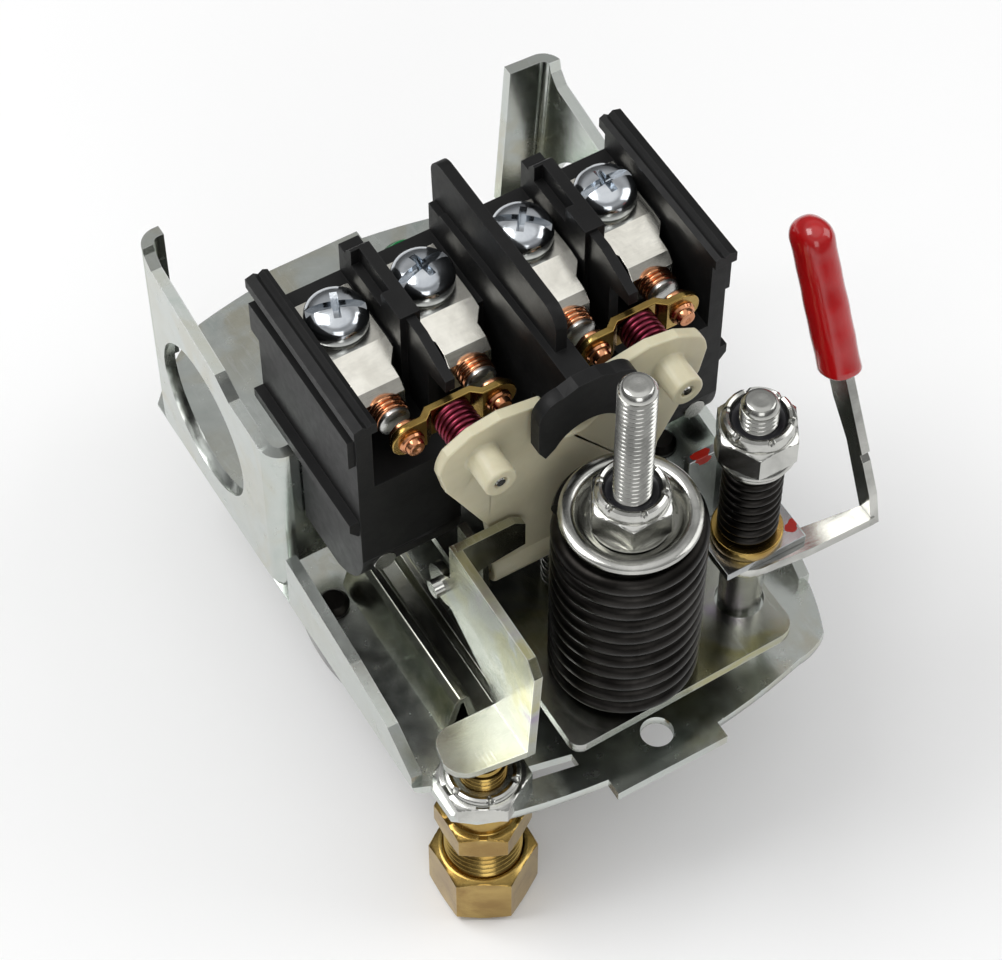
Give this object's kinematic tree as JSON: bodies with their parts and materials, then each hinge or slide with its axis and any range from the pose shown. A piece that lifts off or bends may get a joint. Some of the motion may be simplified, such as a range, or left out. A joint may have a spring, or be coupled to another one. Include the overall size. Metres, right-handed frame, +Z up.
{
  "type": "pressure switch",
  "caption": "Open-frame air-compressor pressure switch with its cover off: folded base, pressure flange, springs, contacts, unloader valve and off lever.",
  "frame": {"origin": "centre of the pressure port's mouth, on the underside of the pressure flange's hub", "axes": "+Z up, out of the base plate towards the studs; -Y towards the side with the springs and the unloader valve; +X along the row of terminals towards the off lever"},
  "size_m": [0.0664, 0.0976, 0.0924],
  "materials": {
    "zinc_plate": "clear zinc plated sheet",
    "zinc_yellow": "yellow chromated zinc, iridescent",
    "die_cast": "as-cast die casting",
    "rubber_black": "moulded",
    "black_steel": "black phosphate and oil",
    "steel_bright": "bright zinc plated",
    "brass": "bright",
    "black_moulding": "moulded thermoset, fine texture",
    "cream_moulding": "natural nylon",
    "strip_bright": "tin plated strip",
    "nickel_screw": "bright plated",
    "contact_metal": "copper with silvery faces",
    "green_screw": "green plated",
    "tinted_spring": "colour-coded wire",
    "red_vinyl": "dipped vinyl"
  },
  "bodies": {
    "frame": {"base_plate": "zinc_plate", "pressure_flange": "die_cast", "diaphragm": "rubber_black", "flange_screws": "black_steel", "lever_bracket": "zinc_yellow", "lever_pivot_pin": "steel_bright", "range_stud": "steel_bright", "differential_stud": "steel_bright", "differential_sleeve": "steel_bright", "friction_plate": "steel_bright", "differential_bush": "brass", "contact_block": "black_moulding", "block_rivets": "steel_bright", "terminal_strip_1": "strip_bright", "terminal_strip_2": "strip_bright", "terminal_strip_3": "strip_bright", "terminal_strip_4": "strip_bright", "terminal_screws": "nickel_screw", "fixed_contacts": "contact_metal", "ground_screw": "green_screw", "cradle_bracket": "zinc_yellow", "cradle_hinge_pin": "steel_bright", "stop_bracket": "zinc_yellow", "channel_bracket": "zinc_yellow", "valve_body": "brass", "valve_lock_nut": "steel_bright", "compression_nut": "brass", "compression_sleeve": "brass", "valve_spring": "steel_bright", "range_spring": "black_steel", "differential_spring": "black_steel", "snap_spring": "steel_bright"},
    "lever": {"main_lever": "zinc_yellow"},
    "follower": {"diaphragm_follower": "die_cast"},
    "range_cup": {"range_spring_cup": "steel_bright"},
    "range_nut": {"range_nut": "steel_bright"},
    "differential_washer": {"differential_washer": "steel_bright"},
    "differential_nut": {"differential_nut": "steel_bright"},
    "cradle": {"contact_cradle": "cream_moulding", "guide_pins": "steel_bright"},
    "bar_left": {"contact_bar_left": "brass", "moving_contacts_left": "contact_metal", "contact_spring_left": "tinted_spring"},
    "bar_right": {"contact_bar_right": "brass", "moving_contacts_right": "contact_metal", "contact_spring_right": "tinted_spring"},
    "unloader": {"unloader_arm": "zinc_yellow"},
    "stem": {"valve_stem": "brass"},
    "off_lever": {"off_lever": "steel_bright", "lever_grip": "red_vinyl"}
  },
  "joints": [
    {"name": "lever_tilt", "type": "hinge", "parent": "frame", "child": "lever", "pos_m": [0, 0.0255, 0.0332], "axis": [1, 0, 0], "range_deg": [0, 1.5], "stiffness_Nm_per_rad": 20, "deforming": ["range_spring", "snap_spring"]},
    {"name": "follower_slide", "type": "slide", "parent": "frame", "child": "follower", "axis": [0, 0, -1], "range_m": [0, 0.000667], "deforming": ["diaphragm"]},
    {"name": "cradle_tilt", "type": "hinge", "parent": "frame", "child": "cradle", "pos_m": [0, -0.0135, 0.046], "axis": [1, 0, 0], "range_deg": [-2.85, 0]},
    {"name": "bar_left_spring", "type": "slide", "parent": "cradle", "child": "bar_left", "axis": [0, -1, 0], "range_m": [0, 0.0008], "stiffness_N_per_m": 500},
    {"name": "bar_right_spring", "type": "slide", "parent": "cradle", "child": "bar_right", "axis": [0, -1, 0], "range_m": [0, 0.0008], "stiffness_N_per_m": 500},
    {"name": "unloader_tilt", "type": "hinge", "parent": "frame", "child": "unloader", "pos_m": [0, -0.0135, 0.046], "axis": [1, 0, 0], "range_deg": [-2.85, 0]},
    {"name": "stem_slide", "type": "slide", "parent": "frame", "child": "stem", "axis": [0, 0, 1], "range_m": [0, 0.00086], "deforming": ["valve_spring"]},
    {"name": "range_setting", "type": "slide", "parent": "frame", "child": "range_cup", "axis": [0, 0, 1], "range_m": [0, 0.00238]},
    {"name": "range_nut_turn", "type": "hinge", "parent": "range_cup", "child": "range_nut", "pos_m": [0, -0.028, 0.068], "axis": [0, 0, 1], "range_deg": [0, 1085]},
    {"name": "differential_setting", "type": "slide", "parent": "frame", "child": "differential_washer", "axis": [0, 0, 1], "range_m": [0, 0.00159], "deforming": ["differential_spring"]},
    {"name": "differential_nut_turn", "type": "hinge", "parent": "differential_washer", "child": "differential_nut", "pos_m": [0.0178, -0.028, 0.069], "axis": [0, 0, 1], "range_deg": [0, 724]},
    {"name": "off_lever_swing", "type": "hinge", "parent": "frame", "child": "off_lever", "pos_m": [0.0178, -0.028, 0.047], "axis": [0, 0, 1], "range_deg": [-20, 0]}
  ],
  "couplings": [
    {"joint": "lever_tilt", "follows": "follower_slide", "rad_per_m": 39.216},
    {"joint": "cradle_tilt", "follows": "follower_slide", "rad_per_m": -74.51},
    {"joint": "unloader_tilt", "follows": "follower_slide", "rad_per_m": -74.51},
    {"joint": "stem_slide", "follows": "follower_slide", "ratio": 1.2745},
    {"joint": "range_nut_turn", "follows": "range_setting", "rad_per_m": 7915.8},
    {"joint": "differential_nut_turn", "follows": "differential_setting", "rad_per_m": 7915.8}
  ]
}
